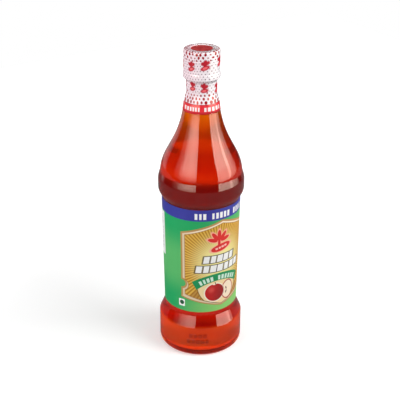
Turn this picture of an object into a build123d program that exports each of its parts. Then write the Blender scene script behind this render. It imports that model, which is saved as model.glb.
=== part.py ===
from build123d import *
from math import hypot, radians, tan
import os

# A tall glass vinegar bottle, full and sealed: a round plinth with a bevelled top, a label panel set
# back from it, a proud ring, a domed shoulder that sweeps up into a narrow neck, and a screw cap
# under a shrunk film. Five pieces, all round about Z: glass, vinegar, cap, film seal and label.
# Millimetres, +Z up, with the origin at the centre of the foot.

# ---- the glass as a whole
BOTTLE_H = 285.7  # foot to lip
BODY_R = 39.0  # the ring, the widest place
WALL = 2.8  # side wall
FLOOR_T = 5.0  # glass under the vinegar

# ---- plinth and foot
PLINTH_INSET = 0.2  # how far the plinth's wall lies inside the ring's radius
PLINTH_H = 31.0
HEEL_ROUND = 5.5
FOOT_LAND = 5.8  # width of the flat ring that it stands on
PUSH_UP_H = 5.0  # hollow under the foot
PUSH_UP_SLOPE = 13.5  # width of the sloping part of that hollow
PUSH_UP_ROUND = 16.0
BEVEL_H = 11.5  # slope from the plinth in to the label panel
BEVEL_EDGE_ROUND = 1.6
BEVEL_COVE = 7.0

# ---- label panel, which widens a little on the way up
PANEL_INSET_LOW = 5.25
PANEL_INSET_TOP = 3.3

# ---- ring, heights from its lower flare to the dome's foot
RING_FLARE_H = 5.5
RING_FLARE_ROUND = 10.0
RING_FLARE_COVE = 4.0
RING_H = 11.5
RING_EDGE_ROUND = 14.0
RING_BEVEL_H = 6.5

# ---- dome and neck, heights from the ring up to the lip
DOME_INSET = 1.9  # the dome's foot inside the ring's radius
SHOULDER_INSET = 3.0
SHOULDER_H = 9.5
SHOULDER_ROUND = 45.0
SLOPE_H = 33.4
THROAT_PROUD = 4.9  # outside the neck's radius
THROAT_ROUND = 95.0
THROAT_H = 20.3
COLLAR_PROUD = 2.35  # outside the neck's radius
COLLAR_ROUND = 6.0
COLLAR_H = 9.5
NECK_R = 13.4
NECK_H = 36.7
NECK_WALL = 3.0
LIP_ROUND = 0.8
CREASE_ROUND = 1.2

# ---- vinegar
HEADSPACE = 43.0  # lip to the level

# ---- screw cap
CAP_CLEARANCE = 0.35  # skirt bore to neck
CAP_WALL = 1.95
CAP_SKIRT_H = 22.1  # lip down to the skirt's edge
CAP_TOP_T = 2.0
CAP_EDGE_ROUND = 1.2
CAP_BAND_PROUD = 0.4  # band round the skirt's lower edge
CAP_BAND_H = 3.7
CAP_BAND_TAPER = 1.3
CAP_BAND_ROUND = 0.4

# ---- shrunk film over the cap and neck
FILM_T = 0.3
FILM_NECK_H = 29.8  # how far it reaches down below the cap
FILM_TUCK = 3.2  # height of its slope from the cap's edge in to the neck
FILM_TUCK_ROUND = 2.0
FILM_LAP = 6.0  # width of its fold over the cap's top

# ---- wrap label
LABEL_T = 0.2
LABEL_MARGIN_LOW = 3.5  # bare glass below it, from the foot of the panel
LABEL_MARGIN_TOP = 1.3  # bare glass above it, to the ring's flare

# ---- radii and heights that follow
PLINTH_R = BODY_R - PLINTH_INSET
PANEL_LOW_R = BODY_R - PANEL_INSET_LOW
PANEL_TOP_R = BODY_R - PANEL_INSET_TOP
THROAT_R = NECK_R + THROAT_PROUD
COLLAR_R = NECK_R + COLLAR_PROUD
BORE_R = NECK_R - NECK_WALL
CAP_BORE_R = NECK_R + CAP_CLEARANCE
CAP_R = CAP_BORE_R + CAP_WALL
PANEL_LOW_Z = PLINTH_H + BEVEL_H
NECK_Z = BOTTLE_H - NECK_H
COLLAR_Z = NECK_Z - COLLAR_H
THROAT_Z = COLLAR_Z - THROAT_H
SHOULDER_Z = THROAT_Z - SLOPE_H
DOME_Z = SHOULDER_Z - SHOULDER_H
RING_TOP_Z = DOME_Z - RING_BEVEL_H
RING_LOW_Z = RING_TOP_Z - RING_H
PANEL_TOP_Z = RING_LOW_Z - RING_FLARE_H
CAP_LOW_Z = BOTTLE_H - CAP_SKIRT_H
CAP_TOP_Z = BOTTLE_H + CAP_TOP_T


def fitted_rounds(corners):
    """Each inner corner's rounding, cut back where two corners share a run too short for both."""
    asked = [0.0]
    for before, here, after in zip(corners, corners[1:], corners[2:]):
        incoming = Vector(here[0] - before[0], here[1] - before[1])
        outgoing = Vector(after[0] - here[0], after[1] - here[1])
        asked.append(here[2] * tan(0.5 * radians(incoming.get_angle(outgoing))))
    asked.append(0.0)
    share = []
    for (r0, z0, _), (r1, z1, _), t0, t1 in zip(corners, corners[1:], asked, asked[1:]):
        run = 0.98 * hypot(r1 - r0, z1 - z0)
        share.append(min(1.0, run / (t0 + t1)) if t0 + t1 > 0 else 1.0)
    return [corner[2] * min(pair) for corner, pair in zip(corners[1:-1], zip(share, share[1:]))]


def turned(corners):
    """A solid turned about Z from corners of (radius, height, rounding), closed along their ends."""
    points = [(radius, 0, height) for radius, height, _ in corners]
    outline = FilletPolyline(*points, radius=fitted_rounds(corners))
    closing = Line(outline @ 1, outline @ 0)
    return revolve(make_face([*outline.edges(), closing]), Axis.Z)


def foot_corners(depth, heel_r):
    """The bottle's underside, or the cavity's floor a depth above it, from the axis out to the heel."""
    land_in = PLINTH_R - HEEL_ROUND - FOOT_LAND
    land_round = PUSH_UP_ROUND if depth else 0
    return [
        (0, PUSH_UP_H + depth, 0),
        (land_in - PUSH_UP_SLOPE, PUSH_UP_H + depth, PUSH_UP_ROUND),
        (land_in, depth, land_round),
        (heel_r, depth, HEEL_ROUND),
    ]


def side_corners(set_back, softening):
    """The side from the plinth's top up to the collar, set back by a wall, or out by a film."""
    return [
        (PLINTH_R - set_back, PLINTH_H, BEVEL_EDGE_ROUND + softening),
        (PANEL_LOW_R - set_back, PANEL_LOW_Z, BEVEL_COVE),
        (PANEL_TOP_R - set_back, PANEL_TOP_Z, RING_FLARE_COVE),
        (BODY_R - set_back, RING_LOW_Z, RING_FLARE_ROUND),
        (BODY_R - set_back, RING_TOP_Z, RING_EDGE_ROUND + softening),
        (BODY_R - DOME_INSET - set_back, DOME_Z, CREASE_ROUND + softening),
        (BODY_R - SHOULDER_INSET - set_back, SHOULDER_Z, SHOULDER_ROUND),
        (THROAT_R - set_back, THROAT_Z, THROAT_ROUND),
        (COLLAR_R - set_back, COLLAR_Z, COLLAR_ROUND),
    ]


def cap_corners(gap):
    """The cap's outline from its lower edge up to the axis, a gap out from the cap."""
    band_r = CAP_R + CAP_BAND_PROUD + gap
    band_top = CAP_LOW_Z + CAP_BAND_H
    return [
        (band_r, CAP_LOW_Z - gap, CAP_BAND_ROUND + gap),
        (band_r, band_top, CAP_BAND_ROUND),
        (CAP_R + gap, band_top + CAP_BAND_TAPER, CAP_BAND_ROUND),
        (CAP_R + gap, CAP_TOP_Z + gap, CAP_EDGE_ROUND + gap),
        (0, CAP_TOP_Z + gap, 0),
    ]


def filled_bottle():
    """The bottle's outside as one filled solid, hollowed only under the foot."""
    neck = [(NECK_R, NECK_Z, COLLAR_ROUND), (NECK_R, BOTTLE_H, LIP_ROUND), (0, BOTTLE_H, 0)]
    return turned(foot_corners(0, PLINTH_R) + side_corners(0, 0) + neck)


def cavity(top):
    """The inside of the glass as a solid, from its floor up to the height given."""
    neck = [(BORE_R, NECK_Z, COLLAR_ROUND), (BORE_R, BOTTLE_H, 0), (0, BOTTLE_H, 0)]
    inside = turned(foot_corners(FLOOR_T, PLINTH_R - WALL) + side_corners(WALL, WALL) + neck)
    slab = Cylinder(BODY_R, top, align=(Align.CENTER, Align.CENTER, Align.MIN))
    return inside & slab


def screw_cap():
    """A plain plastic cap with a band round its lower edge, seated on the lip."""
    bore = Pos(0, 0, CAP_LOW_Z) * Cylinder(
        CAP_BORE_R, CAP_SKIRT_H, align=(Align.CENTER, Align.CENTER, Align.MIN)
    )
    return turned([(0, CAP_LOW_Z, 0)] + cap_corners(0)) - bore


def wrapped(gap):
    """The bottle and its cap as one filled solid, a gap out from both, with the film's tuck between."""
    neck = [
        (NECK_R + gap, NECK_Z, COLLAR_ROUND),
        (NECK_R + gap, CAP_LOW_Z - FILM_TUCK, FILM_TUCK_ROUND),
    ]
    return turned(foot_corners(0, PLINTH_R) + side_corners(-gap, 0) + neck + cap_corners(gap))


def shrink_seal(cap):
    """Film shrunk on to the neck and the cap, turned in over the cap's top round an open middle."""
    low_z = CAP_LOW_Z - FILM_NECK_H
    hole = Pos(0, 0, CAP_TOP_Z) * Cylinder(CAP_R - FILM_LAP, 4 * FILM_T)
    below = Pos(0, 0, low_z) * Cylinder(
        BODY_R + FILM_T, BOTTLE_H, align=(Align.CENTER, Align.CENTER, Align.MAX)
    )
    return wrapped(FILM_T) - wrapped(0) - cap - hole - below


def panel_radius(z):
    """The glass panel's radius at a height on its straight run."""
    along = (z - PANEL_LOW_Z) / (PANEL_TOP_Z - PANEL_LOW_Z)
    return PANEL_LOW_R + (PANEL_TOP_R - PANEL_LOW_R) * along


def wrap_label():
    """A thin label glued all the way round the panel."""
    low_z = PANEL_LOW_Z + LABEL_MARGIN_LOW
    top_z = PANEL_TOP_Z - LABEL_MARGIN_TOP
    low_r, top_r = panel_radius(low_z), panel_radius(top_z)
    ring = [(low_r, low_z, 0), (low_r + LABEL_T, low_z, 0), (top_r + LABEL_T, top_z, 0), (top_r, top_z, 0)]
    return turned(ring)


def main():
    """Writes one STEP for each piece."""
    filled = filled_bottle()
    cap = screw_cap()
    pieces = {
        "glass_bottle": filled - cavity(BOTTLE_H),
        "vinegar": cavity(BOTTLE_H - HEADSPACE),
        "screw_cap": cap,
        "shrink_seal": shrink_seal(cap),
        "wrap_label": wrap_label(),
    }
    os.makedirs("parts", exist_ok=True)
    for name, piece in pieces.items():
        export_step(piece, f"parts/{name}.step")


main()
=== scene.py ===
import math

import bmesh
import bpy
import numpy as np
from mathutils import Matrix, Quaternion, Vector

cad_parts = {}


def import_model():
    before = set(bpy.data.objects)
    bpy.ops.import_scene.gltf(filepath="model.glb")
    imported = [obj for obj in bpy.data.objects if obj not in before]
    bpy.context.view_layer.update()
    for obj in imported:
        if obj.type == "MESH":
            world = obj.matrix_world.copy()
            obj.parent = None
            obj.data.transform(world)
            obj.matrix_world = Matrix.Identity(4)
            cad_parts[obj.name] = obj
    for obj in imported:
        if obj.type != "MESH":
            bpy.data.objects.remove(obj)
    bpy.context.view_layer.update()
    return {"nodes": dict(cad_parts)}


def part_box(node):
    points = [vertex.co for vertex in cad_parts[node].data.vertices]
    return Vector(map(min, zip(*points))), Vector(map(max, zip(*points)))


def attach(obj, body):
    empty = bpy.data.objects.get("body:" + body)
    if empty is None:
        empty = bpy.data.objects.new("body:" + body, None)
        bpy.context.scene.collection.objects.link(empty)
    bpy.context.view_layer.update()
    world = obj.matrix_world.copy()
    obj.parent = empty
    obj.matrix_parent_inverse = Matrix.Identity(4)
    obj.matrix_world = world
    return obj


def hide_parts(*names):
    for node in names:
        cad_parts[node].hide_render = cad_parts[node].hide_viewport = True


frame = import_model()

# A full glass vinegar bottle with a printed wrap label, a screw cap and a dotted film seal.
# Metres, +Z up, the label's middle at -Y. Profiles are (radius, height, rounding) in millimetres.

MM = 0.001
SEGMENTS = 192  # steps round a turned piece
ARC_STEP = math.radians(3.0)  # turn of one step along a rounded corner
RUN_STEP = 4.0  # longest straight step along a profile, mm

# ---- sizes, mm
BODY_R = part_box("glass_bottle")[1].x / MM
BOTTLE_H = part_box("glass_bottle")[1].z / MM
LEVEL_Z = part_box("vinegar")[1].z / MM
FILM_LOW_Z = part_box("shrink_seal")[0].z / MM
CAP_LOW_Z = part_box("screw_cap")[0].z / MM
CAP_TOP_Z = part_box("screw_cap")[1].z / MM
LABEL_LOW_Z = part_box("wrap_label")[0].z / MM
LABEL_TOP_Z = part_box("wrap_label")[1].z / MM
WALL = 2.8
FLOOR_T = 5.0
PUSH_UP_H = 5.0  # hollow under the foot
PUSH_UP_R = 14.0  # the level middle of that hollow
LAND_R = 27.5  # inner edge of the flat ring that the bottle stands on
HEEL_ROUND = 5.5
PLINTH_R = BODY_R - 0.2
PLINTH_H = 31.0
PANEL_LOW_R = BODY_R - 5.25
PANEL_LOW_Z = 42.5
PANEL_TOP_R = BODY_R - 3.3
PANEL_TOP_Z = 152.8
RING_LOW_Z = 158.3
RING_TOP_Z = 169.8
DOME_R = BODY_R - 1.9
DOME_Z = 176.3
SHOULDER_R = BODY_R - 3.0
SHOULDER_Z = 185.8
NECK_R = 13.4
NECK_Z = 249.0
THROAT_R = NECK_R + 4.9
THROAT_Z = 219.2
COLLAR_R = NECK_R + 2.35
COLLAR_Z = 239.5
COLLAR_ROUND = 6.0
BORE_R = NECK_R - 3.0
FILL_REACH = 0.25  # how far the fill reaches into the wall
CAP_R = 15.7
CAP_BAND_R = CAP_R + 0.4
CAP_BAND_H = 3.7
CAP_BAND_TAPER = 1.3
FILM_T = 0.3
FILM_SINK = 0.02  # how far the film's back lies inside what it is shrunk on to
FILM_TUCK = 3.2  # height of its slope from the cap's edge in to the neck
FILM_LAP = 6.0  # width of its fold over the cap's top
LABEL_T = 0.2
LABEL_SINK = 0.05  # how far the label's back lies inside the glass's surface

# ---- camera, degrees and metres
CAMERA_AZIMUTH = -33.6
CAMERA_ELEVATION = 25.42
CAMERA_DISTANCE = 0.867
CAMERA_LENS = 85.4
CAMERA_ROLL = 0.35
CAMERA_SHIFT = -0.0025
CAMERA_AIM_Z = 0.145


# ---------------------------------------------------------------- shapes

def corner_arc(before, here, after):
    """The arc that a corner's rounding puts in its place, tangent to both its runs and sampled evenly
    in angle, or the bare corner where its rounding is 0."""
    corner = np.array(here[:2], float)
    rounding = here[2]
    if rounding <= 0.0:
        return [corner]
    back = np.array(before[:2], float) - corner
    ahead = np.array(after[:2], float) - corner
    back /= np.linalg.norm(back)
    ahead /= np.linalg.norm(ahead)
    half = 0.5 * math.acos(np.clip(np.dot(back, ahead), -1.0, 1.0))
    start = corner + back * rounding / math.tan(half)
    middle = corner + (back + ahead) / np.linalg.norm(back + ahead) * rounding / math.sin(half)
    turn = math.pi - 2.0 * half
    side = math.copysign(1.0, ahead[0] * back[1] - ahead[1] * back[0])
    angle = np.linspace(0.0, turn, max(3, math.ceil(turn / ARC_STEP) + 1)) * side
    spoke = start - middle
    return np.stack([
        middle[0] + spoke[0] * np.cos(angle) - spoke[1] * np.sin(angle),
        middle[1] + spoke[0] * np.sin(angle) + spoke[1] * np.cos(angle),
    ], axis=1)


def rounded_path(corners):
    """Points along a profile with its corners rounded and its long straight runs divided evenly.
    Returns an n by 2 array in mm."""
    points = [np.array(corners[0][:2], float)]
    for before, here, after in zip(corners, corners[1:], corners[2:]):
        points.extend(corner_arc(before, here, after))
    points.append(np.array(corners[-1][:2], float))
    path = [points[0]]
    for start, end in zip(points, points[1:]):
        pieces = max(1, math.ceil(np.linalg.norm(end - start) / RUN_STEP))
        path.extend(start + (end - start) * step / pieces for step in range(1, pieces + 1))
    return np.array(path)


def placed(name, data):
    """Puts a mesh, a camera or a lamp into the scene as an object, and returns that."""
    thing = bpy.data.objects.new(name, data)
    bpy.context.scene.collection.objects.link(thing)
    return thing


def turned(name, path, finishes=None, closed=False):
    """A profile turned about Z: position(step, angle) = (r sin a, -r cos a, z), with r and z read
    from the profile, which runs with the solid on its left. finishes gives each step of the profile
    its material's number. closed joins the profile's end to its start."""
    angle = np.linspace(0.0, 2.0 * math.pi, SEGMENTS, endpoint=False)
    radius, height = path[:, :1], path[:, 1:]
    places = np.stack(np.broadcast_arrays(radius * np.sin(angle), -radius * np.cos(angle), height), axis=-1)
    steps = len(path) if closed else len(path) - 1
    first = np.arange(steps)[:, None]
    after = (first + 1) % len(path)
    column = np.arange(SEGMENTS)[None, :]
    beside = (column + 1) % SEGMENTS
    quads = np.stack([
        first * SEGMENTS + column,
        first * SEGMENTS + beside,
        after * SEGMENTS + beside,
        after * SEGMENTS + column,
    ], axis=-1).reshape(-1, 4)
    mesh = bpy.data.meshes.new(name)
    mesh.from_pydata(places.reshape(-1, 3) * MM, [], quads)
    if finishes is not None:
        mesh.polygons.foreach_set("material_index", np.repeat(finishes, SEGMENTS).astype(np.int32))
    work = bmesh.new()
    work.from_mesh(mesh)
    bmesh.ops.remove_doubles(work, verts=work.verts, dist=1e-7)
    bmesh.ops.dissolve_degenerate(work, edges=work.edges, dist=1e-7)
    work.to_mesh(mesh)
    work.free()
    mesh.shade_smooth()
    return placed(name, mesh)


def foot_corners(depth, heel_r):
    """The underside, or the cavity's floor a depth above it, from the axis out to the heel."""
    land_round = 16.0 if depth else 0.6
    return [
        (0, PUSH_UP_H + depth, 0),
        (PUSH_UP_R, PUSH_UP_H + depth, 16.0),
        (LAND_R, depth, land_round),
        (heel_r, depth, HEEL_ROUND),
    ]


def side_corners(set_back, softening):
    """The side from the plinth's top up to the collar, set back by a wall."""
    return [
        (PLINTH_R - set_back, PLINTH_H, 1.6 + softening),
        (PANEL_LOW_R - set_back, PANEL_LOW_Z, 7.0),
        (PANEL_TOP_R - set_back, PANEL_TOP_Z, 4.0),
        (BODY_R - set_back, RING_LOW_Z, 10.0),
        (BODY_R - set_back, RING_TOP_Z, 14.0 + softening),
        (DOME_R - set_back, DOME_Z, 1.2 + softening),
        (SHOULDER_R - set_back, SHOULDER_Z, 45.0),
        (THROAT_R - set_back, THROAT_Z, 95.0),
        (COLLAR_R - set_back, COLLAR_Z, COLLAR_ROUND),
    ]


def cavity_corners(reach, top_z):
    """The inside of the glass, reaching a little into the wall, from the floor up to a height."""
    wall = WALL - reach
    side = side_corners(wall, wall)
    neck = [(BORE_R + reach, NECK_Z, COLLAR_ROUND), (BORE_R + reach, top_z, 0)]
    return foot_corners(FLOOR_T - reach, PLINTH_R - wall) + side + neck


def glass():
    """The bottle's wall: its outside up to the lip, then its inside down to the floor. The inside's
    faces below the level have the wetted finish."""
    lip = [(NECK_R, NECK_Z, COLLAR_ROUND), (NECK_R, BOTTLE_H, 0.8), (BORE_R, BOTTLE_H, 0)]
    outside = rounded_path(foot_corners(0, PLINTH_R) + side_corners(0, 0) + lip)
    inside = rounded_path(cavity_corners(0, BOTTLE_H))[::-1][1:]
    path = np.concatenate([outside, inside])
    step = np.arange(len(path) - 1)
    wetted = (step >= len(outside)) & (path[:-1, 1] <= LEVEL_Z)
    return turned("bottle_glass", path, wetted)


def vinegar():
    """The fill: the cavity's shape, reaching just into the wall, cut at its level. Its open top has
    the second finish."""
    path = rounded_path(cavity_corners(FILL_REACH, BOTTLE_H))
    path = path[path[:, 1] < LEVEL_Z]
    path = np.concatenate([path, [[path[-1, 0], LEVEL_Z], [0.0, LEVEL_Z]]])
    return turned("vinegar_fill", path, np.arange(len(path) - 1) == len(path) - 2)


def panel_r(z):
    """The glass panel's radius at a height, mm."""
    return PANEL_LOW_R + (PANEL_TOP_R - PANEL_LOW_R) * (z - PANEL_LOW_Z) / (PANEL_TOP_Z - PANEL_LOW_Z)


def label():
    """The wrap label, a thin sleeve whose back lies just inside the glass's surface, as glue holds
    it. Its outside is printed and its back is bare paper."""
    low_r, top_r = panel_r(LABEL_LOW_Z), panel_r(LABEL_TOP_Z)
    corners = [
        (low_r - LABEL_SINK, LABEL_LOW_Z, 0),
        (low_r + LABEL_T, LABEL_LOW_Z, 0.06),
        (top_r + LABEL_T, LABEL_TOP_Z, 0.06),
        (top_r - LABEL_SINK, LABEL_TOP_Z, 0),
    ]
    path = rounded_path(corners)
    return turned("printed_label", path, np.arange(len(path)) == len(path) - 1, closed=True)


def cap_corners(gap):
    """The cap's outline from its lower edge up and in over its top, a gap out from it."""
    band_top = CAP_LOW_Z + CAP_BAND_H
    return [
        (CAP_BAND_R + gap, CAP_LOW_Z - gap, 0.4 + gap),
        (CAP_BAND_R + gap, band_top, 0.4),
        (CAP_R + gap, band_top + CAP_BAND_TAPER, 0.4),
        (CAP_R + gap, CAP_TOP_Z + gap, 1.2 + gap),
        (CAP_R - FILM_LAP, CAP_TOP_Z + gap, 0),
    ]


def seal():
    """The shrunk film, from its lower edge up over the cap and in over the cap's top."""
    low_r = COLLAR_R + (THROAT_R - COLLAR_R) * (COLLAR_Z - FILM_LOW_Z) / (COLLAR_Z - THROAT_Z)

    def skin(gap):
        low = [(low_r + gap, FILM_LOW_Z, 0), (COLLAR_R + gap, COLLAR_Z, COLLAR_ROUND)]
        neck = [(NECK_R + gap, NECK_Z, COLLAR_ROUND), (NECK_R + gap, CAP_LOW_Z - FILM_TUCK, 2.0)]
        return rounded_path(low + neck + cap_corners(gap))

    outer = skin(FILM_T)
    inner = skin(-FILM_SINK)[::-1]
    return turned("film_seal", np.concatenate([outer, inner]), closed=True)


# ---------------------------------------------------------------- glass and vinegar

GLASS_IOR = 1.5
VINEGAR_IOR = 1.34
GLASS_TINT = (0.985, 0.995, 0.99)
MARK_PAINTED_SHADE = (0.05, 0.02, 0.02)
MARKS_ACROSS = -25.0  # middle of the raised marks, round from the label's middle
MARK_ROWS = ((16.5, 5), (22.5, 4))  # height, count
# height, colour of the fill there: partly the vinegar's real depth of colour, more amber up the thin neck,
# and partly painted shade and light, darker in a band near the foot, over the bevel, the body and the ring,
# lighter at the plinth and the dome
VINEGAR_TINT_AND_PAINTED_SHADE = [
    (0, (1.0, 0.2, 0.01)),
    (5, (1.0, 0.2, 0.01)),
    (5.8, (0.55, 0.055, 0.001)),
    (7.5, (0.55, 0.055, 0.001)),
    (11, (0.96, 0.105, 0.002)),
    (29, (0.96, 0.105, 0.002)),
    (32, (0.44, 0.006, 0.001)),
    (42, (0.5, 0.008, 0.001)),
    (150, (0.42, 0.01, 0.006)),
    (172, (0.4, 0.008, 0.004)),
    (176, (0.66, 0.022, 0.001)),
    (181, (0.86, 0.04, 0.001)),
    (188, (0.74, 0.02, 0.0)),
    (200, (0.64, 0.025, 0.0)),
    (215, (0.71, 0.072, 0.0)),
    (235, (0.78, 0.18, 0.0)),
]


def new_material(name):
    """A material with a fresh Principled shader. Returns it with its tree and shader."""
    material = bpy.data.materials.new(name)
    material.use_nodes = True
    tree = material.node_tree
    return material, tree, tree.nodes["Principled BSDF"]


def clear_material(name, ior):
    """A clear, polished material with the bending power given."""
    material, tree, shader = new_material(name)
    shader.inputs["Transmission Weight"].default_value = 1.0
    shader.inputs["Roughness"].default_value = 0.0
    shader.inputs["IOR"].default_value = ior
    return material, tree, shader


def wetted_glass(name, ior):
    """Clear bottle glass where vinegar wets it, its index taken against the vinegar."""
    material, _, shader = clear_material(name, ior)
    shader.inputs["Base Color"].default_value = (*GLASS_TINT, 1.0)
    return material


def moulded_glass(name, ior):
    """Clear bottle glass with two short rows of bars raised on the plinth by its mould, the bars painted
    darker, most along their edges, as painted shade.
    """
    material, tree, shader = clear_material(name, ior)
    across, up, _ = wrapped_place(tree, BODY_R)
    rows = [word_bars(across - MARKS_ACROSS, up - height, count, 4.4, 1.7, thickness=0.55)
            for height, count in MARK_ROWS]
    bars = either(*rows)
    # Painted shade: the bars are darkened, most along their edges.
    painted_shade = cover(abs(bars) - 0.35, 0.3) * 0.6 + cover(bars, 0.3) * 0.4
    tree.links.new(paint(GLASS_TINT, MARK_PAINTED_SHADE, painted_shade), shader.inputs["Base Color"])
    bumped(shader, cover(bars, 0.9), 0.35)
    return material


def colour_ramp(value, stops, interpolation="LINEAR"):
    """A colour that runs through (place, colour) stops as a field goes from 0 to 1."""
    node = value.tree.nodes.new("ShaderNodeValToRGB")
    node.color_ramp.interpolation = interpolation
    while len(node.color_ramp.elements) < len(stops):
        node.color_ramp.elements.new(1.0)
    for element, (place, colour) in zip(node.color_ramp.elements, stops):
        element.position = place
        element.color = (*colour, 1.0)
    feed(node.inputs["Fac"], value)
    return node.outputs["Color"]


def red_vinegar(name, ior):
    """Clear vinegar, faintly cloudy, that swallows blue at once, green soon and red slowly. Its colour
    changes with height, partly painted shade and light.
    """
    material, tree, shader = clear_material(name, ior)
    shader.inputs["Transmission Weight"].default_value = 0.6
    _, up, _ = wrapped_place(tree, BODY_R)
    stops = [(height / CAP_TOP_Z, colour) for height, colour in VINEGAR_TINT_AND_PAINTED_SHADE]
    # Painted shade and light: the fill's colour is set by height, darker in the ring and lighter at the
    # dome.
    tree.links.new(colour_ramp(up / CAP_TOP_Z, stops), shader.inputs["Base Color"])
    volume = tree.nodes.new("ShaderNodeVolumeAbsorption")
    volume.inputs["Color"].default_value = (0.98, 0.8, 0.0, 1.0)
    volume.inputs["Density"].default_value = 50.0
    tree.links.new(volume.outputs["Volume"], tree.nodes["Material Output"].inputs["Volume"])
    return material


# ---------------------------------------------------------------- printing

def srgb(red, green, blue):
    """A printed colour from 0 to 255 values, as the linear colour a shader takes."""
    share = np.array([red, green, blue]) / 255.0
    return tuple(np.where(share <= 0.04045, share / 12.92, ((share + 0.055) / 1.055) ** 2.4))


class Field:
    """A number that changes over a surface: a socket in a node tree. Arithmetic on it adds nodes."""

    def __init__(self, tree, socket):
        self.tree, self.socket = tree, socket

    def __add__(self, other):
        return calc("ADD", self, other)

    def __sub__(self, other):
        return calc("SUBTRACT", self, other)

    def __rsub__(self, other):
        return calc("SUBTRACT", other, self)

    def __mul__(self, other):
        return calc("MULTIPLY", self, other)

    def __rmul__(self, other):
        return calc("MULTIPLY", self, other)

    def __truediv__(self, other):
        return calc("DIVIDE", self, other)

    def __abs__(self):
        return calc("ABSOLUTE", self)


def feed(entry, value):
    """Gives a node's input a plain number, or links a field to it."""
    if isinstance(value, Field):
        value.tree.links.new(value.socket, entry)
    else:
        entry.default_value = value


def calc(operation, *values, clamp=False):
    """One Math node on fields and plain numbers."""
    tree = next(value.tree for value in values if isinstance(value, Field))
    node = tree.nodes.new("ShaderNodeMath")
    node.operation = operation
    node.use_clamp = clamp
    for value, entry in zip(values, node.inputs):
        feed(entry, value)
    return Field(tree, node.outputs[0])


def both(*distances):
    """The part that every shape covers: its distance is the largest one."""
    shape = distances[0]
    for distance in distances[1:]:
        shape = calc("MAXIMUM", shape, distance)
    return shape


def either(*distances):
    """All that any of the shapes covers: its distance is the smallest one."""
    shape = distances[0]
    for distance in distances[1:]:
        shape = calc("MINIMUM", shape, distance)
    return shape


def length(across, up):
    """The length of (across, up)."""
    return calc("SQRT", across * across + up * up)


def repeated(value, pitch):
    """A value folded into one step of a pattern, -pitch / 2 to pitch / 2."""
    return calc("WRAP", value, 0.5 * pitch, -0.5 * pitch)


def turned_to(across, up, tilt):
    """A place seen from axes turned by an angle in degrees."""
    cosine, sine = math.cos(math.radians(tilt)), math.sin(math.radians(tilt))
    return across * cosine + up * sine, up * cosine - across * sine


def block(across, up, half_width, half_height, corner=0.0):
    """Distance to a rectangle round the origin, with rounded corners."""
    side = abs(across) - (half_width - corner)
    top = abs(up) - (half_height - corner)
    outside = length(calc("MAXIMUM", side, 0.0), calc("MAXIMUM", top, 0.0))
    return outside + calc("MINIMUM", both(side, top), 0.0) - corner


def oval(across, up, half_width, half_height):
    """About the distance to an ellipse round the origin."""
    return (length(across / half_width, up / half_height) - 1.0) * min(half_width, half_height)


def petal(east, north, lean, spread, lift, half_width, half_length):
    """An oval that leans by an angle in degrees, its middle on an ellipse of half-width spread and
    half-height lift."""
    side, rise = math.sin(math.radians(lean)), math.cos(math.radians(lean))
    return oval(*turned_to(east - spread * side, north - lift * rise, -lean), half_width, half_length)


def cover(distance, soft=0.14):
    """1 inside a shape and 0 outside it, with an edge as soft as print's."""
    return calc("ADD", distance * (-1.0 / soft), 0.5, clamp=True)


def ramp(value, start, end):
    """0 before start and 1 after end, smooth between them."""
    node = value.tree.nodes.new("ShaderNodeMapRange")
    node.interpolation_type = "SMOOTHSTEP"
    feed(node.inputs["Value"], value)
    node.inputs["From Min"].default_value = start
    node.inputs["From Max"].default_value = end
    return Field(value.tree, node.outputs["Result"])


def noise(tree, scale, detail=2.0):
    """Smooth noise over the object, 0 to 1, with this many cells to a metre."""
    place = tree.nodes.new("ShaderNodeTexCoord")
    node = tree.nodes.new("ShaderNodeTexNoise")
    node.inputs["Scale"].default_value = scale
    node.inputs["Detail"].default_value = detail
    tree.links.new(place.outputs["Object"], node.inputs["Vector"])
    return Field(tree, node.outputs["Fac"])


def paint(under, colour, amount):
    """One colour laid over another where amount is 1. Colours are sockets or linear triples."""
    node = amount.tree.nodes.new("ShaderNodeMix")
    node.data_type = "RGBA"
    feed(node.inputs[0], amount)
    for entry, value in ((node.inputs[6], under), (node.inputs[7], colour)):
        if isinstance(value, tuple):
            entry.default_value = (*value, 1.0)
        else:
            amount.tree.links.new(value, entry)
    return node.outputs[2]


def bumped(shader, height, depth_mm):
    """Raises a surface by a field of 0 to 1 times a depth."""
    node = height.tree.nodes.new("ShaderNodeBump")
    node.inputs["Distance"].default_value = depth_mm * MM
    feed(node.inputs["Height"], height)
    height.tree.links.new(node.outputs["Normal"], shader.inputs["Normal"])


def wrapped_place(tree, radius):
    """The millimetres round the bottle from the label's middle, measured at a radius, the height and
    the distance from the axis."""
    place = tree.nodes.new("ShaderNodeTexCoord")
    split = tree.nodes.new("ShaderNodeSeparateXYZ")
    tree.links.new(place.outputs["Object"], split.inputs["Vector"])
    east, north, up = (Field(tree, split.outputs[axis]) for axis in "XYZ")
    around = calc("ARCTAN2", east, north * -1.0)
    return around * radius, up * (1.0 / MM), length(east, north) * (1.0 / MM)


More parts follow.
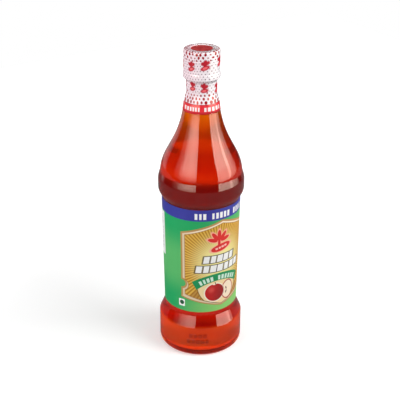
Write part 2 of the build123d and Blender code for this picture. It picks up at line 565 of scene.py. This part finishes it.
def bar_row_group():
    """The node group that the glass, the label and the film share, built once: the distance to a
    centred row of plain blocks, each a little wider or narrower than the next."""
    if "bar_row" in bpy.data.node_groups:
        return bpy.data.node_groups["bar_row"]
    group = bpy.data.node_groups.new("bar_row", "ShaderNodeTree")
    for name in ("Along", "Up", "Count", "Pitch", "Half Height", "Thickness"):
        group.interface.new_socket(name, in_out="INPUT", socket_type="NodeSocketFloat")
    group.interface.new_socket("Distance", in_out="OUTPUT", socket_type="NodeSocketFloat")
    given = group.nodes.new("NodeGroupInput").outputs
    along, up, count, pitch, half_height, thickness = (Field(group, socket) for socket in given[:6])
    half_row = 0.5 * (count * pitch)
    start = along + half_row
    random = group.nodes.new("ShaderNodeTexWhiteNoise")
    random.noise_dimensions = "1D"
    feed(random.inputs["W"], calc("FLOOR", start / pitch))
    share = Field(group, random.outputs["Value"]) * 0.2 + (thickness - 0.1)
    from_middle = abs(repeated(start - 0.5 * pitch, pitch))
    bars = both(from_middle - share * (0.5 * pitch), abs(up) - half_height, abs(along) - half_row)
    feed(group.nodes.new("NodeGroupOutput").inputs["Distance"], bars)
    return group


def word_bars(along, up, count, pitch, half_height, gaps=(), thickness=0.62):
    """Plain blocks in a row where lettering would stand, with one left out at each place in gaps."""
    node = along.tree.nodes.new("ShaderNodeGroup")
    node.node_tree = bar_row_group()
    for entry, value in zip(node.inputs, (along, up, count, pitch, half_height, thickness)):
        feed(entry, value)
    bars = Field(along.tree, node.outputs["Distance"])
    for gap in gaps:
        middle = (gap + 0.5 - 0.5 * count) * pitch
        bars = both(bars, 0.5 * pitch - abs(along - middle))
    return bars


# ---------------------------------------------------------------- label artwork
# Millimetres: across from the label's middle and up from the foot.

LABEL_R = 35.8
BAND_Z = 140.6  # lower edge of the blue band
BLUE = srgb(48, 52, 154)
DEEP_GREEN = srgb(8, 166, 94)
LIGHT_GREEN = srgb(98, 192, 108)
SPRING_GREEN = srgb(138, 212, 114)
GOLD = srgb(190, 142, 82)
CREAM = srgb(226, 205, 172)
PALE_CREAM = srgb(255, 243, 218)
BROWN = srgb(160, 104, 50)
RAY_DARK = srgb(186, 126, 24)
RAY_LIGHT = srgb(226, 184, 76)
GLOW = srgb(250, 238, 160)
SHADOW_INK = srgb(48, 34, 20)
WHITE_INK = srgb(250, 250, 248)
BANNER_GREEN = srgb(2, 146, 86)
BANNER_INK = srgb(215, 240, 225)
LENS_LINE = srgb(92, 64, 18)
LENS_CREAM = srgb(247, 222, 168)
APPLE_RED = srgb(196, 16, 20)
APPLE_DARK = srgb(150, 14, 20)
APPLE_SHINE = srgb(226, 84, 74)
APPLE_HALO = srgb(255, 246, 225)
STALK_BROWN = srgb(90, 50, 20)
PEEL_RED = srgb(190, 60, 56)
FLESH = srgb(255, 236, 208)
SEED_BROWN = srgb(120, 66, 34)
EMBLEM_RED = srgb(222, 36, 34)
EMBLEM_PINK = srgb(255, 178, 160)
EMBLEM_INK = srgb(255, 205, 195)
SPOT_GREEN = srgb(24, 84, 52)
PANEL_WHITE = srgb(246, 247, 246)
DASH_GREY = srgb(120, 124, 126)
STRIPE_BLACK = srgb(30, 32, 34)


def shield(across, up, top, side, bottom, rise, bite):
    """A shield: a low gable on top, upright sides with one round bite each, and a shallow point
    below. bite is (across, up, radius)."""
    out = abs(across)
    gable = (up - (top - out * 0.3)) * 0.958
    point = (out * rise + bottom - up) * 0.965
    notch = bite[2] - length(out - bite[0], up - bite[1])
    return both(gable, point, out - side, notch)


def label_print(tree):
    """The whole wrap's print, as a colour, with painted light in part of its green."""
    across, up, _ = wrapped_place(tree, LABEL_R)
    inner = shield(across, up, 136.6, 35.9, 53.3, 0.31, (38.6, 74.2, 6.3))
    colour = border_print(green_field(across, up), across, up)
    colour = paint(colour, BROWN, cover(inner - 0.5, 0.4))
    colour = paint(colour, ray_colours(across + 2.0, up - 98.0), cover(inner, 0.3))
    colour = lower_print(colour, across, up, inner)
    colour = name_print(colour, across, up)
    colour = emblem_print(colour, across, up)
    colour = band_print(colour, across, up)
    return back_print(colour, across, up)


def green_field(across, up):
    """Green, lighter round the shield's middle, to the right and at the back, and low in front. The lighter
    middle and right side are partly print and partly painted light.
    """
    # Painted light in part: the green grows lighter round the middle and towards the right.
    middle = 1.0 - ramp(abs(up - 94.0), 8.0, 38.0)
    to_right = ramp(across - up * 0.25, -70.0, 25.0)
    light = calc("MAXIMUM", calc("MAXIMUM", middle * 0.75, to_right), ramp(abs(across), 82.0, 106.0))
    colour = paint(DEEP_GREEN, LIGHT_GREEN, light)
    low = ramp(across, -52.0, -2.0) * (1.0 - ramp(up, 54.0, 66.0)) * (1.0 - ramp(across, 40.0, 80.0))
    return paint(colour, SPRING_GREEN, low)


def border_print(colour, across, up):
    """The shield's border, gold outside and cream inside, paler along its top and its point."""
    outer = shield(across, up, 140.4, 40.2, 51.2, 0.24, (39.6, 75.4, 4.0))
    colour = paint(colour, GOLD, cover(outer, 0.5))
    colour = paint(colour, CREAM, cover(outer + 1.7, 0.5))
    lit = cover(outer + 2.0, 0.8) * ramp(up - abs(across) * 0.4, 108.0, 122.0) * 0.9
    lit_low = cover(outer + 1.2, 0.6) * (1.0 - ramp(up - abs(across) * 0.24, 51.8, 54.0)) * 0.9
    return paint(colour, PALE_CREAM, calc("MAXIMUM", lit, lit_low))


def ray_colours(east, north):
    """84 rays round the origin, with a glow in their middle."""
    rays = calc("SINE", calc("ARCTAN2", north, east) * 84.0) * 1.4 + 0.5
    colour = paint(RAY_DARK, RAY_LIGHT, calc("MULTIPLY", rays, 1.0, clamp=True))
    return paint(colour, GLOW, 1.0 - ramp(length(east, north), 9.0, 36.0))


def lower_print(colour, across, up, inner):
    """Under the name: a curved banner with a row of blocks, over a lens that holds the fruit."""
    east = across + 2.5
    low_arc = length(east, up - 44.4) - 34.0
    lens = both(inner, low_arc, length(east, up - 74.2) - 21.3)
    colour = paint(colour, BROWN, cover(both(inner, low_arc), 0.3) * 0.55)
    colour = paint(colour, LENS_LINE, cover(lens - 0.5, 0.2))
    colour = paint(colour, LENS_CREAM, cover(lens, 0.3))
    colour = fruit_print(colour, across, up, lens)
    ends = (abs(east) * 0.868 + (up - 79.5) * -0.496) - 23.9
    banner = both(length(east, up - 36.0) - 50.0, 0.0 - low_arc, ends, inner - 1.0)
    colour = paint(colour, BANNER_GREEN, cover(banner))
    along_arc = calc("ARCTAN2", east, up - 40.0) * 42.0
    bars = word_bars(along_arc, length(east, up - 40.0) - 41.4, 11, 3.85, 2.3, (4,))
    return paint(colour, BANNER_INK, cover(bars))


def name_print(colour, across, up):
    """Two rows of plain blocks where a name would stand, leaning like lettering."""
    for middle, height, count, pitch in ((-2.1, 101.3, 5, 6.7), (-1.8, 91.6, 7, 6.95)):
        lean = (across - middle) - (up - height) * 0.17
        blocks = word_bars(lean, up - height, count, pitch, 3.5, thickness=0.8)
        colour = paint(colour, SHADOW_INK, cover(blocks - 0.75))
        colour = paint(colour, WHITE_INK, cover(blocks))
    return colour


def band_print(colour, across, up):
    """The blue band with its row of blocks, and the small square mark low on the left."""
    colour = paint(colour, BLUE, cover(BAND_Z - up))
    colour = paint(colour, WHITE_INK, cover(word_bars(across, up - 145.3, 14, 3.9, 2.9, (3, 9))))
    colour = paint(colour, WHITE_INK, cover(block(across + 39.8, up - 54.3, 3.3, 3.7, 0.9)))
    return paint(colour, SPOT_GREEN, cover(length(across + 39.7, up - 54.5) - 2.3))


def fruit_print(colour, across, up, lens):
    """A red apple and a pale slice of one, inside the lens."""
    east, north = across + 6.9, up - 66.3
    dimple = 3.2 - length(east + 0.6, north - 11.2)
    body = both(oval(east, north, 9.8, 9.1), dimple, lens)
    colour = paint(colour, APPLE_HALO, cover(both(body - 1.0, lens), 0.5))
    skin = paint(APPLE_RED, APPLE_DARK, ramp(east - north * 0.3, -6.0, 8.0))
    shine = 1.0 - ramp(length(east + 3.6, north - 3.0), 0.0, 5.0)
    skin = paint(skin, APPLE_SHINE, shine * 0.7)
    colour = paint(colour, skin, cover(body, 0.3))
    stalk = block(*turned_to(east - 0.8, north - 8.6, 20.0), 0.35, 2.2)
    colour = paint(colour, STALK_BROWN, cover(stalk))
    flesh_x, flesh_y = across - 7.6, up - 66.0
    flesh = both(oval(flesh_x, flesh_y, 6.6, 8.9), 0.6 - body, lens)
    colour = paint(colour, PEEL_RED, cover(both(flesh - 0.9, 0.4 - body)))
    colour = paint(colour, FLESH, cover(flesh, 0.3))
    seeds = [oval(*turned_to(flesh_x + 1.6, flesh_y + offset, tilt), 0.7, 1.7)
             for offset, tilt in ((-1.6, 18.0), (2.2, -18.0))]
    return paint(colour, SEED_BROWN, cover(either(*seeds)))


def emblem_print(colour, across, up):
    """A fan of five petals on a stem over a tilted pill, all red on a pink glow."""
    east, north = across + 3.4, up - 119.0
    petals = [petal(east, north, lean, 6.6, 6.6, 1.9, 4.9) for lean in (-74.0, -38.0, 0.0, 38.0, 74.0)]
    stem = block(east, north + 0.6, 1.3, 4.0, 0.6)
    pill_x, pill_y = turned_to(across + 1.2, up - 112.6, 12.0)
    pill = oval(pill_x, pill_y, 10.3, 3.6)
    shape = either(*petals, stem, pill)
    colour = paint(colour, EMBLEM_PINK, cover(shape - 0.7, 0.7) * 0.85)
    colour = paint(colour, EMBLEM_RED, cover(shape))
    bars = word_bars(pill_x, pill_y, 4, 3.2, 0.9, thickness=0.7)
    return paint(colour, EMBLEM_INK, cover(bars))


def back_print(colour, across, up):
    """The back: a white panel with rows of grey dashes, and a small white patch of black stripes."""
    behind = abs(across) - 112.5
    colour = paint(colour, PANEL_WHITE, cover(block(behind, up - 117.5, 49.0, 22.0, 1.5)))
    row = calc("FLOOR", (up - 118.5) / 3.1 + 0.5)
    shifted = behind + 24.0 + calc("SINE", row * 2.3) * 1.4
    dash = word_bars(shifted, repeated(up - 118.5, 3.1), 14, 2.9, 0.55, (3, 8))
    colour = paint(colour, DASH_GREY, cover(both(dash, abs(up - 118.0) - 18.0)))
    patch = block(across - 88.0, up - 76.0, 13.0, 14.0, 1.0)
    colour = paint(colour, PANEL_WHITE, cover(patch))
    stripes = both(abs(repeated(across + calc("SINE", across * 2.1) * 0.3, 1.3)) - 0.33, patch + 3.0)
    return paint(colour, STRIPE_BLACK, cover(stripes))


def printed_label(name):
    """Coated paper with the whole print on it, its satin a little uneven."""
    material, tree, shader = new_material(name)
    tree.links.new(label_print(tree), shader.inputs["Base Color"])
    feed(shader.inputs["Roughness"], noise(tree, 180.0, 4.0) * 0.16 + 0.34)
    bumped(shader, noise(tree, 45.0, 3.0), 0.12)
    return material


def bare_paper(name):
    """White uncoated paper with faint fibres, the label's back."""
    material, tree, shader = new_material(name)
    fibres = noise(tree, 900.0, 5.0)
    tree.links.new(paint(srgb(238, 238, 234), srgb(222, 221, 214), ramp(fibres, 0.4, 0.7)),
                   shader.inputs["Base Color"])
    shader.inputs["Roughness"].default_value = 0.85
    return material


# ---------------------------------------------------------------- film artwork
# Millimetres: across from the label's middle and up from the foot.

SEAL_R = 15.0
SEAL_ROUND = 2.0 * math.pi * SEAL_R
SEAL_BAND_Z = 241.7  # top of the red band, under a thin darker line
SEAL_DOT_PITCH = SEAL_ROUND / 24
# height, radius, shift round
SEAL_DOT_ROWS = (
    (244.0, 1.2, 0.0),
    (247.0, 1.0, 1.8),
    (249.8, 0.75, 0.6),
    (252.2, 0.55, 2.4),
    (281.2, 0.6, 1.1),
    (283.6, 0.85, 2.9),
    (286.3, 1.05, 0.9),
)
SEAL_TOP_RINGS = ((14.6, 0.9), (12.7, 0.8), (10.9, 0.65))  # distance from the axis, radius
SPRIG_ROWS = ((278.0, -1.8), (256.6, 2.0))  # height, rise and fall round the film
FILM_WHITE = srgb(247, 242, 244)
FILM_PAINTED_SHADE_PINK = srgb(248, 224, 231)
DOT_RED = srgb(160, 6, 26)
DOT_GREY = srgb(92, 54, 68)
BAND_RED = srgb(232, 46, 58)
BAND_LINE = srgb(172, 14, 34)
BAND_INK = srgb(255, 240, 240)
SPRIG_RED = srgb(190, 26, 44)
SPRIG_HALO = srgb(214, 150, 160)
PILL_RED = srgb(196, 30, 50)
PILL_PINK = srgb(246, 112, 116)


def seal_print(tree):
    """White film with a red band below, rows of dots that grow to both ends, and two rows of small
    sprigs, all a little uneven as the film shrank. Its pink towards its left side is painted shade."""
    across, flat_up, radius = wrapped_place(tree, SEAL_R)
    angle = across / SEAL_R
    across = across + calc("COSINE", angle * 3.0 + 1.26) * 1.3 + (noise(tree, 60.0) - 0.5) * 1.6
    up = flat_up + (noise(tree, 75.0, 1.0) - 0.5) * 1.5
    # Painted shade: the film turns pink towards its left side.
    colour = paint(FILM_WHITE, FILM_PAINTED_SHADE_PINK, ramp(across * -1.0, -6.0, 22.0))
    colour = grey_dots(colour, across, up)
    growth = (noise(tree, 300.0, 0.0) - 0.5) * 1.5
    for height, size, shift in SEAL_DOT_ROWS:
        dots = length(repeated(across + shift, SEAL_DOT_PITCH), (up - height) * 0.85) - size - growth
        colour = paint(colour, DOT_RED, cover(dots, 0.2))
    below_top = CAP_TOP_Z - 0.2 - flat_up
    for reach, size in SEAL_TOP_RINGS:
        dots = length(repeated(across + reach, SEAL_ROUND / 28), radius - reach) - size - growth
        colour = paint(colour, DOT_RED, cover(both(dots, below_top), 0.2))
    lean = calc("COSINE", angle + 1.75)
    for height, slope in SPRIG_ROWS:
        colour = sprig_print(colour, repeated(across + 5.0, SEAL_ROUND / 7), up - height - lean * slope)
    colour = paint(colour, BAND_LINE, cover(flat_up - (SEAL_BAND_Z + 0.6)))
    colour = paint(colour, BAND_RED, cover(flat_up - SEAL_BAND_Z))
    bars = word_bars(across, flat_up - 238.0, 32, SEAL_ROUND / 32, 1.75, (6, 13, 19, 26))
    return paint(colour, BAND_INK, cover(bars))


def grey_dots(colour, across, up):
    """Small staggered dots all over the film, 32 to a row."""
    pitch, rise = SEAL_ROUND / 32, 2.3
    row = calc("FLOOR", (up - 252.4) / rise)
    stagger = calc("MODULO", row, 2.0) * (0.5 * pitch)
    dots = length(repeated(across + stagger, pitch), repeated(up - 253.55, rise)) - 0.42
    return paint(colour, DOT_GREY, cover(both(dots, abs(up - 267.4) - 15.0), 0.2))


def sprig_print(colour, east, north):
    """A small red sprig of three petals over a pill."""
    petals = [petal(east, north - 0.4, lean, 1.6, 1.4, 1.4, 2.1) for lean in (-62.0, 0.0, 62.0)]
    sprig = either(*petals, block(east, north + 0.9, 1.25, 1.9, 0.5))
    pill = oval(*turned_to(east, north + 2.8, 14.0), 3.4, 1.7)
    colour = paint(colour, SPRIG_HALO, cover(either(sprig, pill) - 0.4, 0.3))
    colour = paint(colour, SPRIG_RED, cover(sprig, 0.2))
    colour = paint(colour, PILL_RED, cover(pill, 0.2))
    return paint(colour, PILL_PINK, cover(pill + 0.7, 0.3))


def printed_film(name):
    """Glossy shrunk film with its print, drawn into soft upright creases and small puckers."""
    material, tree, shader = new_material(name)
    tree.links.new(seal_print(tree), shader.inputs["Base Color"])
    shader.inputs["Roughness"].default_value = 0.22
    across, up, _ = wrapped_place(tree, 1.0)
    puckers = noise(tree, 260.0, 2.0)
    creases = calc("SINE", across * 23.0 + noise(tree, 90.0, 1.0) * 9.0) * 0.5 + 0.5
    near_tuck = 1.0 - ramp(abs(up - (CAP_LOW_Z - 0.5 * FILM_TUCK)), 1.0, 6.0)
    bumped(shader, puckers + creases * (near_tuck * 0.8 + 0.2), 0.22)
    return material


def cap_plastic(name):
    """Red moulded plastic, its sheen turned in fine rings on top."""
    material, tree, shader = new_material(name)
    _, _, radius = wrapped_place(tree, SEAL_R)
    mottle = noise(tree, 240.0, 3.0)
    tree.links.new(paint(srgb(176, 38, 42), srgb(196, 66, 66), ramp(mottle, 0.42, 0.66)),
                   shader.inputs["Base Color"])
    feed(shader.inputs["Roughness"], mottle * 0.25 + 0.28)
    rings = calc("SINE", radius * 9.0) * 0.5 + 0.5
    bumped(shader, rings + mottle * 2.0, 0.02)
    return material


# ---------------------------------------------------------------- studio
# Metres, and degrees to the right of the camera's own azimuth.

LAMP_AIM_Z = 0.12
CARD_DISTANCE = 0.85
CARD_CENTRE_Z = 0.15
CARD_COLOUR = (1.0, 0.78, 0.64)
CARD_COLUMNS = 33
CARD_ROWS = 17
CARD_ELEVATIONS = (-9, 72)
FLOOR_HALF = 0.9
FLOOR_GREY = 0.8
FLOOR_GREY_MIRRORED = 0.26
UNDER_GLOW = (2.7, 0.75, 0.06)  # the floor's light up into the foot


def direction(azimuth_deg, elevation_deg=0.0):
    """A unit vector at an azimuth to the right of the camera's own, and an elevation."""
    azimuth = np.radians(CAMERA_AZIMUTH + azimuth_deg)
    elevation = np.radians(elevation_deg)
    return np.array([
        np.sin(azimuth) * np.cos(elevation), -np.cos(azimuth) * np.cos(elevation), np.sin(elevation)])


def aimed(name, data, aim_z, azimuth, elevation, distance, roll=0.0):
    """Puts a camera or a lamp at a distance from a point on the bottle's axis, turned to it."""
    thing = placed(name, data)
    aim = Vector((0.0, 0.0, aim_z))
    thing.location = aim + Vector(direction(azimuth, elevation)) * distance
    look = (aim - thing.location).to_track_quat("-Z", "Y")
    thing.rotation_euler = (look @ Quaternion((0.0, 0.0, 1.0), math.radians(roll))).to_euler()
    return thing


def camera():
    """The camera, looking down at the bottle from in front and to its left."""
    data = bpy.data.cameras.new("camera")
    data.lens = CAMERA_LENS
    data.clip_start = 0.01
    data.shift_x = CAMERA_SHIFT
    bpy.context.scene.camera = aimed(
        "camera", data, CAMERA_AIM_Z, 0.0, CAMERA_ELEVATION, CAMERA_DISTANCE, CAMERA_ROLL)


def lamp(name, azimuth, elevation, distance, side, power):
    """A square, soft area lamp that faces the bottle and isn't mirrored in it."""
    data = bpy.data.lights.new(name, "AREA")
    data.shape = "SQUARE"
    data.size = side
    data.energy = power
    thing = aimed(name, data, LAMP_AIM_Z, azimuth, elevation, distance)
    thing.visible_glossy = False
    thing.visible_transmission = False
    thing.visible_camera = False


def emptied(material):
    """A material's or a world's node tree with nothing in it but a new output. Returns both."""
    material.use_nodes = True
    tree = material.node_tree
    tree.nodes.clear()
    kind = "World" if isinstance(material, bpy.types.World) else "Material"
    return tree, tree.nodes.new("ShaderNodeOutput" + kind)


def card_mesh(name, azimuths):
    """Part of a sphere round the bottle: position(a, e) = centre + distance x direction(a, e). Its
    UV map runs from 0 to 1 across and upwards."""
    azimuth, elevation = np.meshgrid(
        np.linspace(*azimuths, CARD_COLUMNS), np.linspace(*CARD_ELEVATIONS, CARD_ROWS))
    places = np.moveaxis(direction(azimuth, elevation), 0, -1) * CARD_DISTANCE + (0.0, 0.0, CARD_CENTRE_Z)
    column, row = np.meshgrid(np.arange(CARD_COLUMNS - 1), np.arange(CARD_ROWS - 1))
    start = (row * CARD_COLUMNS + column).reshape(-1)
    quads = np.stack([start, start + 1, start + 1 + CARD_COLUMNS, start + CARD_COLUMNS], axis=1)
    mesh = bpy.data.meshes.new(name)
    mesh.from_pydata(places.reshape(-1, 3), [], quads)
    corner = quads.reshape(-1)
    along, rise = corner % CARD_COLUMNS, corner // CARD_COLUMNS
    places = np.column_stack([along / (CARD_COLUMNS - 1), rise / (CARD_ROWS - 1)])
    mesh.uv_layers.new(name="card").data.foreach_set("uv", places.reshape(-1))
    return mesh


def card_light(name, strength, across, upwards):
    """Light that fades across and upwards, each by its (place, level) stops."""
    material = bpy.data.materials.new(name)
    tree, out = emptied(material)
    place = tree.nodes.new("ShaderNodeUVMap")
    split = tree.nodes.new("ShaderNodeSeparateXYZ")
    tree.links.new(place.outputs["UV"], split.inputs["Vector"])
    fades = []
    for axis, stops in (("X", across), ("Y", upwards)):
        greys = [(at, (level, level, level)) for at, level in stops]
        fades.append(Field(tree, colour_ramp(Field(tree, split.outputs[axis]), greys, "EASE")))
    glow = tree.nodes.new("ShaderNodeEmission")
    glow.inputs["Color"].default_value = (*CARD_COLOUR, 1.0)
    feed(glow.inputs["Strength"], fades[0] * fades[1] * strength)
    tree.links.new(glow.outputs["Emission"], out.inputs["Surface"])
    return material


def light_card(name, azimuths, strength, across, upwards):
    """A bright shell that only polished surfaces see."""
    card = placed(name, card_mesh(name, azimuths))
    card.data.materials.append(card_light(name, strength, across, upwards))
    card.visible_camera = False
    card.visible_diffuse = False
    card.visible_transmission = False
    card.visible_shadow = False


def mixed(tree, factor, first, second):
    """Two shaders mixed by a socket: the first where it is 0, the second where it is 1."""
    shader = tree.nodes.new("ShaderNodeMixShader")
    tree.links.new(factor, shader.inputs["Fac"])
    tree.links.new(first, shader.inputs[1])
    tree.links.new(second, shader.inputs[2])
    return shader.outputs[0]


def seen_directly(tree):
    """1 for what the camera sees, straight or through glass, and 0 for light and mirror images."""
    path = tree.nodes.new("ShaderNodeLightPath")
    straight = Field(tree, path.outputs["Is Camera Ray"])
    through_glass = Field(tree, path.outputs["Is Transmission Ray"])
    return calc("MAXIMUM", straight, through_glass).socket


def world():
    """White behind everything, softer as light, and dark where polish mirrors it."""
    scene = bpy.context.scene
    scene.world = bpy.data.worlds.new("studio")
    tree, out = emptied(scene.world)

    def background(strength):
        shader = tree.nodes.new("ShaderNodeBackground")
        shader.inputs["Color"].default_value = (1.0, 1.0, 1.0, 1.0)
        feed(shader.inputs["Strength"], strength)
        return shader.outputs[0]

    def towards(azimuth, elevation=0):
        place = tree.nodes.new("ShaderNodeTexCoord")
        side = tree.nodes.new("ShaderNodeVectorMath")
        side.operation = "DOT_PRODUCT"
        side.inputs[1].default_value = direction(azimuth, elevation)
        tree.links.new(place.outputs["Generated"], side.inputs[0])
        return Field(tree, side.outputs["Value"])

    path = tree.nodes.new("ShaderNodeLightPath")
    rim = ramp(towards(-146, -14), 0.8, 0.94) * 0.7 + 0.03
    unseen = mixed(tree, path.outputs["Is Glossy Ray"], background(0.4), background(rim))
    behind_glass = background(towards(-90) * 0.8 + 1.6)
    seen = mixed(tree, path.outputs["Diffuse Depth"], background(1.0), behind_glass)
    tree.links.new(mixed(tree, seen_directly(tree), unseen, seen), out.inputs["Surface"])


def floor():
    """A pale floor that keeps the bottle's shadow, darker in mirror images, with an orange light
    under the foot that only shows through the glass."""
    mesh = bpy.data.meshes.new("floor")
    corners = [(x * FLOOR_HALF, y * FLOOR_HALF, 0.0) for x, y in ((-1, -1), (1, -1), (1, 1), (-1, 1))]
    mesh.from_pydata(corners, [], [(0, 1, 2, 3)])
    plane = placed("floor", mesh)
    material = bpy.data.materials.new("floor")
    tree, out = emptied(material)

    def matt(grey):
        shader = tree.nodes.new("ShaderNodeBsdfDiffuse")
        shader.inputs["Color"].default_value = (grey, grey, grey, 1.0)
        return shader.outputs[0]

    _, _, from_axis = wrapped_place(tree, BODY_R)
    through_glass = Field(tree, tree.nodes.new("ShaderNodeLightPath").outputs["Is Transmission Ray"])
    fade_out = calc("MINIMUM", calc("MAXIMUM", (from_axis - 200.0) / 600.0, 0.0), 1.0)
    under_foot = through_glass * (1.0 - ramp(from_axis, 36.0, 44.0))
    glow = tree.nodes.new("ShaderNodeEmission")
    feed(glow.inputs["Strength"], through_glass * 0.3 + fade_out * 0.66 + 0.34)
    tree.links.new(paint((1.0, 1.0, 1.0), UNDER_GLOW, under_foot), glow.inputs["Color"])
    lit = tree.nodes.new("ShaderNodeAddShader")
    tree.links.new(matt(FLOOR_GREY), lit.inputs[0])
    tree.links.new(glow.outputs[0], lit.inputs[1])
    shown = mixed(tree, seen_directly(tree), matt(FLOOR_GREY_MIRRORED), lit.outputs[0])
    tree.links.new(shown, out.inputs["Surface"])
    mesh.materials.append(material)


camera()
world()
floor()
lamp("lamp_right", 70, 38, 1.1, 0.8, 11.0)
lamp("lamp_left", -62, 12, 1.1, 0.8, 8.5)
light_card(
    "card_left", (-84, -12.5), 8.6,
    across=[(0.0, 0.0), (0.2, 0.15), (0.5, 0.8), (0.75, 1.0), (1.0, 0.75)],
    upwards=[(0.0, 0.0), (0.1, 0.35), (0.22, 0.75), (0.36, 1.0), (0.7, 0.85), (1.0, 0.3)],
)
light_card(
    "card_right", (45, 115), 14.0,
    across=[(0.0, 0.6), (0.05, 0.68), (0.45, 0.66), (0.48, 0.5), (0.5, 1.0), (0.6, 1.0),
            (0.64, 0.5), (0.85, 0.3), (1.0, 0.05)],
    upwards=[(0.0, 0.4), (0.06, 0.66), (0.2, 0.72), (0.36, 1.0), (0.6, 1.0), (1.0, 0.4)],
)

# Where the wall is wet its inside bends light straight from glass to vinegar, so the fill itself,
# which ends inside the wall, bends it no more. Only its open top does.
pieces = [
    (glass(), "glass_bottle", "clear_glass",
     [moulded_glass("clear_glass", GLASS_IOR), wetted_glass("wetted_glass", GLASS_IOR / VINEGAR_IOR)]),
    (vinegar(), "vinegar", "vinegar",
     [red_vinegar("vinegar", 1.0), red_vinegar("vinegar_top", VINEGAR_IOR)]),
    (label(), "wrap_label", "label_paper", [printed_label("label_print"), bare_paper("label_back")]),
    (seal(), "shrink_seal", "seal_film", [printed_film("seal_film")]),
]
for piece, node, slot, materials in pieces:
    for material in materials:
        piece.data.materials.append(material)
    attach(piece, "root")
    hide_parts(node)
frame["nodes"]["screw_cap"].material_slots[0].material = cap_plastic("cap_plastic")

bpy.context.scene.view_settings.view_transform = "Standard"
cycles = bpy.context.scene.cycles
cycles.max_bounces = 64
cycles.transmission_bounces = 64
cycles.glossy_bounces = 32
cycles.diffuse_bounces = 6
